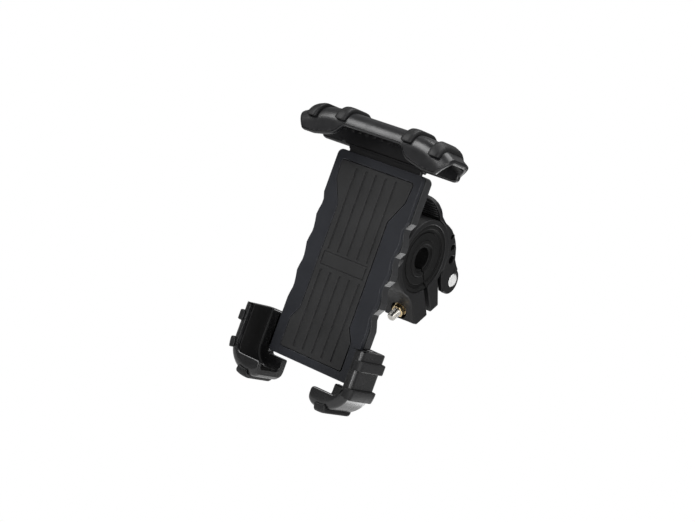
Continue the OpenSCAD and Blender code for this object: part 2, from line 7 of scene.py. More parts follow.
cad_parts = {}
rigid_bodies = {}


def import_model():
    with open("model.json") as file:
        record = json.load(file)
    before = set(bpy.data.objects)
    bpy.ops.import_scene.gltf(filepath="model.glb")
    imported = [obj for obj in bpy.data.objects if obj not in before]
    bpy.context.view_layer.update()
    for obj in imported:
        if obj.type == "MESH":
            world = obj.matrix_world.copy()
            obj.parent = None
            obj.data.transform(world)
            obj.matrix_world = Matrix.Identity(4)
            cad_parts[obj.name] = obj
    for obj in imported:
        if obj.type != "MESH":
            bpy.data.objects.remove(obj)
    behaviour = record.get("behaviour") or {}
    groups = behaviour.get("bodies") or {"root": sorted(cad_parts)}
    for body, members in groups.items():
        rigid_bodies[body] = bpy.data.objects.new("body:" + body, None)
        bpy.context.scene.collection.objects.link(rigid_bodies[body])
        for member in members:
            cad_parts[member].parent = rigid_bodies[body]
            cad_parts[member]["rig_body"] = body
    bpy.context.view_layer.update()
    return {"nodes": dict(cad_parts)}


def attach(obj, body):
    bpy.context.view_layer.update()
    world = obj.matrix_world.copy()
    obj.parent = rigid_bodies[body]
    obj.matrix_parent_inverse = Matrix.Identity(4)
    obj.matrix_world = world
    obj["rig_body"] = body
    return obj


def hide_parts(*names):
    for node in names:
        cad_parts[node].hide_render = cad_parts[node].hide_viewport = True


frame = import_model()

MM = 0.001
nodes = frame["nodes"]
AMBIENT = 0.24              # strength of the white surroundings as the object sees them
CAMERA_PLACE = (0.4652, -0.7479, 0.0284)
CAMERA_TARGET = (0.0009, -0.0551, -0.0127)
CAMERA_ROLL = 19.9
FLOOR_Z, FLOOR_HALF = -0.30, 4.0


# ---------- camera, floor and light ----------

def look(place, target, roll_degrees):
    """Matrix of a camera or lamp at place that looks at target and is rolled about its own axis."""
    aim = (Vector(target) - Vector(place)).to_track_quat("-Z", "Y")
    turn = aim.to_matrix() @ Matrix.Rotation(math.radians(roll_degrees), 3, "Z")
    return Matrix.LocRotScale(Vector(place), turn, None)


def make_camera():
    data = bpy.data.cameras.new("camera")
    data.lens = 85
    data.sensor_width = 36
    data.clip_start = 0.02
    camera = bpy.data.objects.new("camera", data)
    bpy.context.scene.collection.objects.link(camera)
    camera.matrix_world = look(CAMERA_PLACE, CAMERA_TARGET, CAMERA_ROLL)
    bpy.context.scene.camera = camera


def soft_light(name, place, size, watts, target=(0, -0.045, 0), hidden=False):
    """Rectangular lamp aimed at the target; a hidden one lights the object but stays out of the picture."""
    data = bpy.data.lights.new(name, "AREA")
    data.shape = "RECTANGLE"
    data.size, data.size_y = size
    data.energy = watts
    lamp = bpy.data.objects.new(name, data)
    bpy.context.scene.collection.objects.link(lamp)
    lamp.matrix_world = look(place, target, 0)
    lamp.visible_camera = not hidden


def seen_as(tree, seen, lit):
    """A background or floor that the camera sees as plain white and that lights the object less."""
    path = tree.nodes.new("ShaderNodeLightPath")
    blend = tree.nodes.new("ShaderNodeMixShader")
    tree.links.new(path.outputs["Is Camera Ray"], blend.inputs["Fac"])
    tree.links.new(lit, blend.inputs[1])
    tree.links.new(seen, blend.inputs[2])
    return blend.outputs["Shader"]


def make_studio():
    soft_light("key_light", (-0.55, -0.85, 0.75), (0.6, 0.6), 8.5)
    soft_light("fill_light", (1.0, -0.3, 0.25), (0.4, 0.9), 4)
    soft_light("top_light", (0.1, 0.1, 0.9), (0.9, 0.5), 5)
    soft_light("strip_light", (0.85, -0.62, 0.0), (0.16, 0.8), 3.0)
    soft_light("rear_light", (0.10, 0.36, -0.25), (0.2, 0.15), 0.4, (0, -0.03, 0), hidden=True)
    world = bpy.data.worlds.new("studio")
    world.use_nodes = True
    tree = world.node_tree
    white = tree.nodes["Background"]
    white.inputs["Color"].default_value = (1, 1, 1, 1)
    white.inputs["Strength"].default_value = 1.0
    dim = tree.nodes.new("ShaderNodeBackground")
    dim.inputs["Color"].default_value = (1, 1, 1, 1)
    dim.inputs["Strength"].default_value = AMBIENT
    shown = seen_as(tree, white.outputs["Background"], dim.outputs["Background"])
    tree.links.new(shown, tree.nodes["World Output"].inputs["Surface"])
    bpy.context.scene.world = world
    bpy.context.scene.view_settings.view_transform = "Standard"


def make_floor():
    mesh = bpy.data.meshes.new("floor")
    corners = [(x * FLOOR_HALF, y * FLOOR_HALF, FLOOR_Z) for x, y in ((-1, -1), (1, -1), (1, 1), (-1, 1))]
    mesh.from_pydata(corners, [], [(0, 1, 2, 3)])
    floor = bpy.data.objects.new("floor", mesh)
    bpy.context.scene.collection.objects.link(floor)
    mesh.materials.append(plain_paper())


# ---------- materials ----------

def shader_tree(name):
    material = bpy.data.materials.new(name)
    material.use_nodes = True
    tree = material.node_tree
    return material, tree, tree.nodes["Principled BSDF"]


def noise(tree, scale, detail=2.0, stretch=(1, 1, 1)):
    """Noise over the piece's own coordinates; scale is in features per metre."""
    where = tree.nodes.new("ShaderNodeTexCoord")
    mapping = tree.nodes.new("ShaderNodeMapping")
    mapping.inputs["Scale"].default_value = stretch
    texture = tree.nodes.new("ShaderNodeTexNoise")
    texture.inputs["Scale"].default_value = scale
    texture.inputs["Detail"].default_value = detail
    tree.links.new(where.outputs["Object"], mapping.inputs["Vector"])
    tree.links.new(mapping.outputs["Vector"], texture.inputs["Vector"])
    return texture.outputs["Fac"]


def remap(tree, value, low, high, to_low, to_high):
    node = tree.nodes.new("ShaderNodeMapRange")
    for socket, number in zip(("From Min", "From Max", "To Min", "To Max"), (low, high, to_low, to_high)):
        node.inputs[socket].default_value = number
    tree.links.new(value, node.inputs["Value"])
    return node.outputs["Result"]


def mix(tree, amount, colour_a, colour_b):
    """Blend from colour_a to colour_b; either may be an output socket or three numbers."""
    node = tree.nodes.new("ShaderNodeMix")
    node.data_type = "RGBA"
    tree.links.new(amount, node.inputs["Factor"])
    for socket, colour in (("A", colour_a), ("B", colour_b)):
        slot = next(s for s in node.inputs if s.name == socket and s.type == "RGBA")
        if isinstance(colour, tuple):
            slot.default_value = (*colour, 1)
        else:
            tree.links.new(colour, slot)
    return next(s for s in node.outputs if s.type == "RGBA")


def edge_mask(tree, radius):
    """1 on edges and 0 on flats: how far a normal rounded over the radius leans from the true one."""
    rounded = tree.nodes.new("ShaderNodeBevel")
    rounded.samples = 6
    rounded.inputs["Radius"].default_value = radius
    true = tree.nodes.new("ShaderNodeNewGeometry")
    dot = tree.nodes.new("ShaderNodeVectorMath")
    dot.operation = "DOT_PRODUCT"
    tree.links.new(rounded.outputs["Normal"], dot.inputs[0])
    tree.links.new(true.outputs["Normal"], dot.inputs[1])
    return remap(tree, dot.outputs["Value"], 0.97, 0.78, 0.0, 1.0)


def moulded(name, colour, rough, grain=2600, bump=0.25, wear_and_highlight=(0.16, 0.16, 0.165), wear_and_highlight_amount=0.35,
            coat=0.0, blotch=0.12, stretch=(1, 1, 1), specular=0.5, edge=0.00045):
    """Moulded plastic or rubber: grained surface, faint cloudiness in colour and gloss, and edges lighter in
    colour, partly rubbed wear and partly a painted highlight.
    """
    material, tree, shader = shader_tree(name)
    clouds = noise(tree, 55, 3.0)
    speck = noise(tree, grain, 2.0, stretch)
    darker = tuple(c * (1 - blotch) for c in colour)
    lighter = tuple(c * (1 + blotch) for c in colour)
    body = mix(tree, remap(tree, clouds, 0.35, 0.65, 0, 1), darker, lighter)
    # Lighter colour on the edges: rubbed wear in patches, and a painted highlight along every edge.
    rubbed_and_lit_edges = tree.nodes.new("ShaderNodeMath")
    rubbed_and_lit_edges.operation = "MULTIPLY"
    tree.links.new(edge_mask(tree, edge), rubbed_and_lit_edges.inputs[0])
    patches = remap(tree, noise(tree, 260, 4.0), 0.42, 0.62, 0.25 * wear_and_highlight_amount, wear_and_highlight_amount)
    tree.links.new(patches, rubbed_and_lit_edges.inputs[1])
    tree.links.new(mix(tree, rubbed_and_lit_edges.outputs["Value"], body, wear_and_highlight), shader.inputs["Base Color"])
    tree.links.new(remap(tree, noise(tree, 140, 4.0), 0.3, 0.7, rough - 0.05, rough + 0.06),
                   shader.inputs["Roughness"])
    shader.inputs["Specular IOR Level"].default_value = specular
    shader.inputs["Coat Weight"].default_value = coat
    shader.inputs["Coat Roughness"].default_value = 0.18
    relief = tree.nodes.new("ShaderNodeBump")
    relief.inputs["Strength"].default_value = bump
    relief.inputs["Distance"].default_value = 0.00004
    tree.links.new(speck, relief.inputs["Height"])
    tree.links.new(relief.outputs["Normal"], shader.inputs["Normal"])
    return material


def metal(name, colour, rough, brush=(1, 1, 1), bump=0.15, tarnish=0.2, metallic=1.0):
    """Metal with fine tool marks along one direction and uneven polish."""
    material, tree, shader = shader_tree(name)
    marks = noise(tree, 1800, 3.0, brush)
    dull = tuple(c * (1 - tarnish) for c in colour)
    tree.links.new(mix(tree, remap(tree, noise(tree, 220, 4.0), 0.35, 0.65, 0, 1), dull, colour),
                   shader.inputs["Base Color"])
    shader.inputs["Metallic"].default_value = metallic
    tree.links.new(remap(tree, marks, 0.3, 0.7, rough - 0.07, rough + 0.1), shader.inputs["Roughness"])
    relief = tree.nodes.new("ShaderNodeBump")
    relief.inputs["Strength"].default_value = bump
    relief.inputs["Distance"].default_value = 0.00003
    tree.links.new(marks, relief.inputs["Height"])
    tree.links.new(relief.outputs["Normal"], shader.inputs["Normal"])
    return material


def plain_paper():
    material, tree, shader = shader_tree("studio_floor")
    shader.inputs["Base Color"].default_value = (0.8, 0.8, 0.8, 1)
    shader.inputs["Roughness"].default_value = 0.9
    white = tree.nodes.new("ShaderNodeEmission")
    shown = seen_as(tree, white.outputs["Emission"], shader.outputs["BSDF"])
    tree.links.new(shown, tree.nodes["Material Output"].inputs["Surface"])
    return material


M = {
    # The cover's edges are painted much lighter than its face: a painted edge highlight as well as wear.
    "cover": moulded("cover_plastic", (0.0165, 0.0178, 0.0225), 0.5, 1500, 0.35, specular=0.3,
                     wear_and_highlight=(0.2, 0.2, 0.21), wear_and_highlight_amount=0.9, edge=0.0006),
    "shell": moulded("shell_plastic", (0.022, 0.0225, 0.024), 0.42, 1500, 0.3, wear_and_highlight_amount=0.5, specular=0.4),
    "pad": moulded("pad_rubber", (0.0215, 0.0215, 0.022), 0.6, 900, 0.5, stretch=(2.6, 1, 0.12),
                   wear_and_highlight_amount=0.2, specular=0.3),
    "frame": moulded("frame_plastic", (0.0085, 0.0085, 0.0095), 0.34, 1700, 0.12, coat=0.1, wear_and_highlight_amount=0.1),
    "claw": moulded("claw_plastic", (0.0065, 0.0065, 0.007), 0.25, 1700, 0.05, coat=0.35, wear_and_highlight_amount=0.03),
    "band": moulded("band_rubber", (0.0075, 0.0075, 0.008), 0.5, 1200, 0.3, wear_and_highlight_amount=0.15, specular=0.35),
    "liner": moulded("liner_rubber", (0.006, 0.006, 0.006), 0.5, 1200, 0.3, wear_and_highlight_amount=0.15, specular=0.3),
    "clamp": moulded("clamp_plastic", (0.0065, 0.0065, 0.007), 0.45, 1600, 0.3, wear_and_highlight_amount=0.2,
                     specular=0.3),
    "insert": moulded("insert_rubber", (0.0035, 0.0035, 0.0035), 0.6, 1100, 0.35, wear_and_highlight_amount=0.1,
                      specular=0.2),
    "aluminium": metal("ball_aluminium", (0.10, 0.10, 0.11), 0.3),
    "zinc": metal("zinc_steel", (0.66, 0.64, 0.60), 0.28, (1, 0.15, 1)),
    # The pin is near white and only partly metallic: a painted sheen that stands in for the bright reflection
    # on its steel.
    "pin": metal("pin_steel", (0.95, 0.95, 0.94), 0.4, tarnish=0.04, metallic=0.35),
    "spring": metal("spring_steel", (0.55, 0.55, 0.56), 0.3),
    "brass": metal("nut_brass", (0.86, 0.68, 0.40), 0.3, tarnish=0.1),
    "nylon": moulded("white_nylon", (0.72, 0.71, 0.66), 0.45, 1200, 0.2, wear_and_highlight=(0.8, 0.8, 0.76)),
}


# ---------- mesh helpers ----------

HOLDER_PLACE, EAR_ROLL = (0, -0.0558, -0.015), 42.5
# Millimetres on the holder, from its front face and middle, and on the clamp with its ears straight down
HOLDER = Matrix.Translation(HOLDER_PLACE) @ Matrix.Scale(MM, 4)
CLAMP = Matrix.Rotation(math.radians(EAR_ROLL), 4, "X") @ Matrix.Scale(MM, 4)


def arc(centre, radius, start, end, steps):
    """Points along an arc, from one angle to another in degrees."""
    turns = [math.radians(start + (end - start) * i / steps) for i in range(steps + 1)]
    return [(centre[0] + radius * math.cos(t), centre[1] + radius * math.sin(t)) for t in turns]


def mirrored(points):
    return [(-u, v) for u, v in reversed(points)]


def grown(points, amount):
    """A counter-clockwise outline pushed outwards at its corners; a negative amount pulls it in."""
    result = []
    for i, here in enumerate(points):
        before, after = Vector(points[i - 1]), Vector(points[(i + 1) % len(points)])
        here = Vector(here)
        one, two = (here - before).normalized(), (after - here).normalized()
        lean = (one + two).normalized()
        reach = min(1 / max(lean.dot(one), 0.5), 1.6)
        result.append((here.x + lean.y * amount * reach, here.y - lean.x * amount * reach))
    return result


def new_mesh(name, points, faces, place):
    mesh = bpy.data.meshes.new(name)
    mesh.from_pydata([place @ Vector(p) for p in points], [], faces)
    bm = bmesh.new()
    bm.from_mesh(mesh)
    bmesh.ops.recalc_face_normals(bm, faces=bm.faces)
    bm.to_mesh(mesh)
    bm.free()
    return mesh


def lofted(name, rings, place):
    """A skin through closed rings of equal length, with its two ends closed."""
    count = len(rings[0])
    points = [p for ring in rings for p in ring]
    faces = []
    for start in range(0, (len(rings) - 1) * count, count):
        for j in range(count):
            after = (j + 1) % count
            faces.append((start + j, start + after, start + count + after, start + count + j))
    last = (len(rings) - 1) * count
    faces += [tuple(range(count)), tuple(range(last, last + count))]
    return new_mesh(name, points, faces, place)


AXIS_TURNS = {
    "X": lambda u, v, w: (w, u, v),
    "Y": lambda u, v, w: (u, w, v),
    "Z": lambda u, v, w: (u, v, w),
}


def prism(name, loops, axis, low, high, place):
    """Outlines, the first one outside and the rest holes, made solid along an axis from low to high."""
    turn = AXIS_TURNS[axis]
    curve = bpy.data.curves.new(name, "CURVE")
    curve.dimensions = "2D"
    curve.fill_mode = "BOTH"
    curve.extrude = (high - low) / 2
    for loop in loops:
        spline = curve.splines.new("POLY")
        spline.points.add(len(loop) - 1)
        for point, (u, v) in zip(spline.points, loop):
            point.co = (u, v, 0, 1)
        spline.use_cyclic_u = True
    drawn = bpy.data.objects.new(name, curve)
    bpy.context.scene.collection.objects.link(drawn)
    bpy.context.view_layer.update()
    mesh = bpy.data.meshes.new_from_object(drawn.evaluated_get(bpy.context.evaluated_depsgraph_get()))
    bpy.data.objects.remove(drawn)
    bpy.data.curves.remove(curve)
    middle = (low + high) / 2
    for vertex in mesh.vertices:
        u, v, w = vertex.co
        vertex.co = place @ Vector(turn(u, v, w + middle))
    bm = bmesh.new()
    bm.from_mesh(mesh)
    bmesh.ops.remove_doubles(bm, verts=bm.verts, dist=0.000002)
    bmesh.ops.recalc_face_normals(bm, faces=bm.faces)
    bm.to_mesh(mesh)
    bm.free()
    return mesh


def box_mesh(name, x, y, z, place):
    return prism(name, [[(x[0], z[0]), (x[1], z[0]), (x[1], z[1]), (x[0], z[1])]], "Y", y[0], y[1], place)


def joined(name, meshes):
    """Several meshes in one."""
    bm = bmesh.new()
    for mesh in meshes:
        bm.from_mesh(mesh)
        bpy.data.meshes.remove(mesh)
    result = bpy.data.meshes.new(name)
    bm.to_mesh(result)
    bm.free()
    return result


def cut(obj, cutter):
    """Cuts a mesh out of a piece."""
    tool = bpy.data.objects.new("cutter", cutter)
    bpy.context.scene.collection.objects.link(tool)
    boolean = obj.modifiers.new("cut", "BOOLEAN")
    boolean.object = tool
    boolean.operation = "DIFFERENCE"
    boolean.solver = "EXACT"
    settle(obj)
    bpy.data.objects.remove(tool)
    bm = bmesh.new()
    bm.from_mesh(obj.data)
    bmesh.ops.remove_doubles(bm, verts=bm.verts, dist=0.000003)
    bmesh.ops.dissolve_degenerate(bm, edges=bm.edges, dist=0.000003)
    bm.to_mesh(obj.data)
    bm.free()


def shaded(mesh, degrees=36):
    mesh.shade_smooth()
    mesh.set_sharp_from_angle(angle=math.radians(degrees))


def settle(obj):
    """Applies a piece's modifiers to its mesh."""
    bpy.context.view_layer.update()
    made = obj.evaluated_get(bpy.context.evaluated_depsgraph_get())
    mesh = bpy.data.meshes.new_from_object(made)
    obj.modifiers.clear()
    obj.data = mesh


def rounded(obj, width, segments=2, degrees=30):
    """Rounds a piece's edges for good, with its flats kept flat in the shading."""
    shaded(obj.data)
    bevel = obj.modifiers.new("edges", "BEVEL")
    bevel.width = width * MM
    bevel.segments = segments
    bevel.limit_method = "ANGLE"
    bevel.angle_limit = math.radians(degrees)
    bevel.use_clamp_overlap = False
    bevel.miter_outer = "MITER_ARC"
    weights = obj.modifiers.new("flats", "WEIGHTED_NORMAL")
    weights.keep_sharp = True
    settle(obj)


def piece(name, mesh, body, material, stands_for=()):
    """A finished piece: on its body, with its material, in place of its CAD nodes."""
    obj = bpy.data.objects.new(name, mesh)
    bpy.context.scene.collection.objects.link(obj)
    mesh.materials.clear()
    mesh.materials.append(material)
    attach(obj, body)
    if stands_for:
        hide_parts(*stands_for)
    return obj


def softened(node, material, width):
    """The CAD node's own shape as a new piece, with its edges rounded as a mould leaves them."""
    mesh = nodes[node].data.copy()
    bm = bmesh.new()
    bm.from_mesh(mesh)
    bmesh.ops.remove_doubles(bm, verts=bm.verts, dist=0.000004)
    bmesh.ops.join_triangles(bm, faces=bm.faces, angle_face_threshold=math.radians(0.5),
                             angle_shape_threshold=math.radians(40))
    bmesh.ops.recalc_face_normals(bm, faces=bm.faces)
    bm.to_mesh(mesh)
    bm.free()
    obj = piece(node + "_moulding", mesh, nodes[node]["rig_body"], material, (node,))
    rounded(obj, width)


make_camera()

# ---------- holder: cover, pad and rear shell ----------

BODY_HALF_W, BODY_HALF_H = 27.4, 55.5
COVER_T, BODY_T = 2.6, 10.5
NOTCHES, NOTCH_FIRST, NOTCH_PITCH, NOTCH_TAPER = 4, 31.6, 15.3, 0.2
PAD_FRONT, PAD_POCKET = -0.35, 1.3
PAD_SIDE = [(22.3, 50.8), (22.8, 50.3), (23.3, 48.8), (22.5, 40), (16.3, 27.8), (16.6, -29),
            (20.3, -35.3), (20.5, -50), (19.8, -51)]
RIB_PITCH = 6.3
LABEL_HALF_W, LABEL_HALF_H, LABEL_Z = 14.25, 3.8, -0.5
CAVITY_HALF, CAVITY_BACK, CAVITY_HALF_H = 23.3, 9.0, 53.9
SCREW_SPOTS = ((0, 38), (-19.5, -28.5), (19.5, -28.5), (0, -26))
SCREW_SEAT_R, SCREW_SEAT_DEPTH = 2.75, 0.9


def body_side(depth, facet=0.0):
    """Right edge of the holder from its top corner down; facet pulls the edge in above each lower notch."""
    points = arc((BODY_HALF_W - 3, BODY_HALF_H - 3), 3, 90, 0, 6)
    for k in range(NOTCHES):
        x, top = BODY_HALF_W - NOTCH_TAPER * k, NOTCH_FIRST - NOTCH_PITCH * k
        pull = facet if k else 0
        points += [(x, top + 3.2), (x - pull, top - 0.2), (x - pull - 0.1, top - 0.5), (x - depth, top - 3.8),
                   (x - depth, top - 6.4), (x - depth * 0.5, top - 9.4), (x - 0.3, top - 12)]
    x = BODY_HALF_W - NOTCH_TAPER * NOTCHES
    return points + arc((x - 1.5, 1.5 - BODY_HALF_H), 1.5, 0, -90, 3)


def body_ring(depth, y, inset, facet=0.0):
    side = body_side(depth, facet)
    outline = grown(list(reversed(side + mirrored(side))), -inset)
    return [(u, y, v) for u, v in outline]


def pad_outline(gap):
    return grown(list(reversed(PAD_SIDE + mirrored(PAD_SIDE))), -gap)


def make_cover():
    rings = [body_ring(1.3, 0, 0.45, 0.9), body_ring(1.3, 0.12, 0.12, 0.75), body_ring(1.3, 0.45, 0, 0.6),
             body_ring(1.3, 1.9, 0, 0.0), body_ring(1.3, COVER_T - 0.3, 0), body_ring(1.3, COVER_T, 0.3)]
    cover = piece("cover_plate", lofted("cover_plate", rings, HOLDER), "holder", M["cover"],
                  ("front_cover",))
    cut(cover, prism("pocket", [pad_outline(0)], "Y", -1, PAD_POCKET, HOLDER))
    rounded(cover, 0.12, 1, 50)


def make_pad():
    pad = piece("ribbed_pad", prism("pad", [pad_outline(0.4)], "Y", PAD_FRONT, PAD_POCKET - 0.02, HOLDER),
                "holder", M["pad"], ("front_pad",))
    grooves = []
    for k in range(-2, 3):
        for low, high in ((4.6, 48.4), (-48.4, -6.4)):
            x = k * RIB_PITCH
            section = [(x - 0.32, -2), (x + 1.9, -2), (x + 1.9, PAD_FRONT - 0.02), (x + 0.35, 0.2),
                       (x - 0.2, 0.28), (x - 0.32, -0.2)]
            grooves.append(prism("groove", [section], "Z", low, high, HOLDER))
    line_w = 0.75
    loops = []
    for w, h in ((LABEL_HALF_W, LABEL_HALF_H), (LABEL_HALF_W - line_w, LABEL_HALF_H - line_w)):
        loops.append([(w, LABEL_Z + h), (-w, LABEL_Z + h), (-w, LABEL_Z - h), (w, LABEL_Z - h)])
    grooves.append(prism("label", loops, "Y", -1, 0.1, HOLDER))
    cut(pad, joined("grooves", grooves))
    rounded(pad, 0.1, 1, 35)


def make_shell():
    rings = [body_ring(2.2, COVER_T + 0.02, 1.1), body_ring(2.2, 3.4, 1.0), body_ring(2.2, 3.75, 0),
             body_ring(2.2, 9.3, 0.1), body_ring(2.2, 10.1, 0.45), body_ring(2.2, BODY_T, 1.2)]
    shell = piece("shell_back", lofted("shell_back", rings, HOLDER), "holder", M["shell"],
                  ("rear_shell",))
    across, high = (-CAVITY_HALF, CAVITY_HALF), (-CAVITY_HALF_H, CAVITY_HALF_H)
    rooms = [box_mesh("room", across, (0, CAVITY_BACK), high, HOLDER),
             box_mesh("jaw_slot", across, (0, 5.6), (50, 60), HOLDER),
             box_mesh("arm_slot", (-32, 32), (0, 6.9), (-CAVITY_HALF_H, -36.2), HOLDER)]
    for room in rooms:
        cut(shell, room)
    for spot in SCREW_SPOTS:
        rim = arc(spot, SCREW_SEAT_R, 0, 345, 23)
        cut(shell, prism("seat", [rim], "Y", BODY_T - SCREW_SEAT_DEPTH, 12, HOLDER))
    rounded(shell, 0.18, 2, 32)


make_cover()
make_pad()
make_shell()

# ---------- top jaw ----------

JAW_HALF, JAW_TOP, JAW_FRONT, JAW_BACK = 48.0, 74.5, -16.6, 7.0
JAW_END_R = 4.4
WALL = 3.2
DROOP_START, DROOP_END = 25.0, 7.0
# Lower edge of the front lip and of the back plate: distance from the middle, and height
LIP_ARCH = [(0, 66.3), (19, 66.3), (20.5, 65.8), (24, 61.8), (26, 60.4), (31.3, 59), (38.5, 57.7),
            (45.5, 57.7), (47.2, 58.3), (JAW_HALF, 59.6)]
BACK_EDGE = [(0, 57.7), (45.5, 57.7), (47.2, 58.3), (JAW_HALF, 59.6)]


def between(table, value):
    """Straight-line reading of a table of pairs."""
    for (x0, y0), (x1, y1) in zip(table, table[1:]):
        if value <= x1:
            return y0 + (y1 - y0) * (value - x0) / (x1 - x0)
    return table[-1][1]


def droop(x):
    return DROOP_END * (max(abs(x) - DROOP_START, 0) / (JAW_HALF - DROOP_START)) ** 2


def jaw_profile(x, raised=0.0, front_edge=None, back_edge=None):
    """Outside of the jaw at x in Y and Z, from the front lip's edge over the crown to the back edge; the
    edges are the jaw's own unless other heights are given."""
    sink = droop(x)
    front = between(LIP_ARCH, abs(x)) if front_edge is None else front_edge
    back = between(BACK_EDGE, abs(x)) if back_edge is None else back_edge
    line = [(JAW_FRONT - raised, 50)]
    line += arc((JAW_FRONT + 8, JAW_TOP - 8), 8 + raised, 180, 90, 16)
    line += arc((JAW_BACK - 6, JAW_TOP - 6), 6 + raised, 90, 0, 12)
    line += [(JAW_BACK + raised, 50)]
    line = [(y, z - sink) for y, z in line]
    while line[1][1] < front:
        line.pop(0)
    while line[-2][1] < back:
        line.pop()
    for end, after, edge in ((0, 1, front), (-1, -2, back)):
        (y0, z0), (y1, z1) = line[end], line[after]
        line[end] = (y0 + (y1 - y0) * (edge - z0) / (z1 - z0), edge)
    return line


def resampled(line, count):
    """The same line through a given number of evenly spaced points."""
    runs = [0.0]
    for (y0, z0), (y1, z1) in zip(line, line[1:]):
        runs.append(runs[-1] + math.hypot(y1 - y0, z1 - z0))
    ys = [(r, p[0]) for r, p in zip(runs, line)]
    zs = [(r, p[1]) for r, p in zip(runs, line)]
    steps = [runs[-1] * i / (count - 1) for i in range(count)]
    return [(between(ys, r), between(zs, r)) for r in steps]


def jaw_reach(y):
    """Half length of the jaw at a depth y, where the ends are rounded as seen from above."""
    lean = max(JAW_FRONT + JAW_END_R - y, y - (JAW_BACK - JAW_END_R), 0)
    return JAW_HALF - JAW_END_R + math.sqrt(max(JAW_END_R ** 2 - min(lean, JAW_END_R) ** 2, 0))


def make_jaw():
    across, along = 46, 96
    points = []
    for i in range(along + 1):
        s = 2 * i / along - 1
        s = math.copysign(1 - (1 - abs(s)) ** 1.25, s)
        for y, z in resampled(jaw_profile(s * JAW_HALF), across):
            points.append((s * jaw_reach(y), y, z))
    faces = [(i * across + j, i * across + j + 1, (i + 1) * across + j + 1, (i + 1) * across + j)
             for i in range(along) for j in range(across - 1)]
    mesh = bpy.data.meshes.new("jaw_hood")
    mesh.from_pydata([HOLDER @ Vector(p) for p in points], [], faces)
    hood = piece("jaw_hood", mesh, "jaw", M["frame"], ("top_jaw",))
    solid = hood.modifiers.new("wall", "SOLIDIFY")
    solid.thickness = WALL * MM
    solid.offset = 1.0 if mesh.polygons[len(faces) // 2].normal.z < 0 else -1.0
    solid.use_even_offset = True
    settle(hood)
    rounded(hood, 1.2, 4, 50)
    slot = [(-3.3, 3.7), (3.3, 3.7), (3.3, 41.3), (-3.3, 41.3)]
    blade = [(-23, -18), (23, -18), (23, 58.2), (-23, 58.2)]
    plate = prism("slider", [blade, slot], "Y", 2.9, 5.3, HOLDER)
    ledge = prism("ledge", [[(-23.5, 56.6), (23.5, 56.6), (24.8, 59.2), (-24.8, 59.2)]], "Y", 3, 6.9, HOLDER)
    slider = piece("jaw_slider", joined("jaw_slider", [plate, ledge]), "jaw", M["frame"],
                   ("top_jaw",))
    rounded(slider, 0.3, 2)


BAND_SECTION = [(-3.15, -0.25), (-3.15, 0.9), (-2.9, 1.55), (-2.3, 2.0), (-1.2, 2.2), (1.2, 2.2), (2.3, 2.0),
                (2.9, 1.55), (3.15, 0.9), (3.15, -0.25)]
BAND_FRONT_END, BAND_BACK_END = 68.6, 60.4
BAND_SPOTS = (-38.9, -21, 21, 38.9)


def make_jaw_bands():
    meshes = []
    for x in BAND_SPOTS:
        lines = []
        for shift, raised in BAND_SECTION:
            here = max(min(x + shift, JAW_HALF), -JAW_HALF)
            line = resampled(jaw_profile(here, raised, BAND_FRONT_END - droop(x), BAND_BACK_END), 40)
            lines.append([(x + shift, y, z) for y, z in line])
        rings = [[line[i] for line in lines] for i in range(40)]
        meshes.append(lofted("band", rings, HOLDER))
    bands = piece("jaw_grip_bands", joined("jaw_grip_bands", meshes), "jaw", M["band"],
                  ("top_jaw_bands",))
    rounded(bands, 0.5, 2, 50)


make_jaw()
make_jaw_bands()

# ---------- corner claws ----------

CLAW_HALF, CLAW_TOP, CLAW_BOTTOM, CLAW_R = 39.0, -35.2, -69.8, 14.5
CLAW_FRONT, CLAW_BACK, LIP_T, FOOT_FRONT, FOOT_END = -16.4, 7.4, 3.0, 2.9, 17.5
FRONT_CORNER_R, REAR_CORNER_R = 3.8, 3.8
LIP_END_R, LIP_TIP_R = 3.6, 1.5
LIP_SIDE, LIP_TOP, LIP_CORNER_R = 34.5, -60.6, 4.5
FOOT_SIDE, FOOT_TOP, FOOT_CORNER_R = 27.4, -57.7, 1.5
ARM_Y = (2.9, 6.6)
ARM_Z = (-53.6, -36.5)
PINION_Z, TOOTH_MODULE, PITCH_R = -46.0, 0.8, 3.2


def claw_track(x_side, z_foot, radius, steps=18, end_r=0.0):
    """Points of one line round the claw's corner: down the side, round, and along the foot, whose end
    turns up with the radius end_r, or down if that is negative."""
    centre = (x_side - radius, z_foot + radius)
    side = [(x_side, CLAW_TOP + (centre[1] - CLAW_TOP) * i / 10) for i in range(10)]
    turn = arc(centre, radius, 0, -90, steps)
    foot = []
    for share in (0.2, 0.4, 0.6, 0.74, 0.84, 0.91, 0.96, 1.0):
        x = centre[0] + (FOOT_END - centre[0]) * share
        near = max(FOOT_END + abs(end_r) - x, 0) * 0.9
        lift = abs(end_r) - math.sqrt(end_r ** 2 - near ** 2)
        foot.append((x, z_foot + math.copysign(lift, end_r)))
    return side + turn + foot


def claw_rings(section, side):
    """Rings of a section carried round the claw's corner; each point of it is (depth, distance, line)."""
    outer = claw_track(CLAW_HALF, CLAW_BOTTOM, CLAW_R, end_r=LIP_END_R)
    lip = claw_track(LIP_SIDE, LIP_TOP, LIP_CORNER_R, end_r=-LIP_TIP_R)
    foot = claw_track(FOOT_SIDE, FOOT_TOP, FOOT_CORNER_R)
    rings = []
    for i, start in enumerate(outer):
        ring = []
        for y, inward, line in section:
            goal = Vector((lip if line == "lip" else foot)[i])
            here = Vector(start)
            reach = 0 if line == "wall" else (goal - here).length
            at = here + (goal - here).normalized() * (reach + inward)
            ring.append((side * at.x, y, at.y))
        rings.append(ring)
    return rings


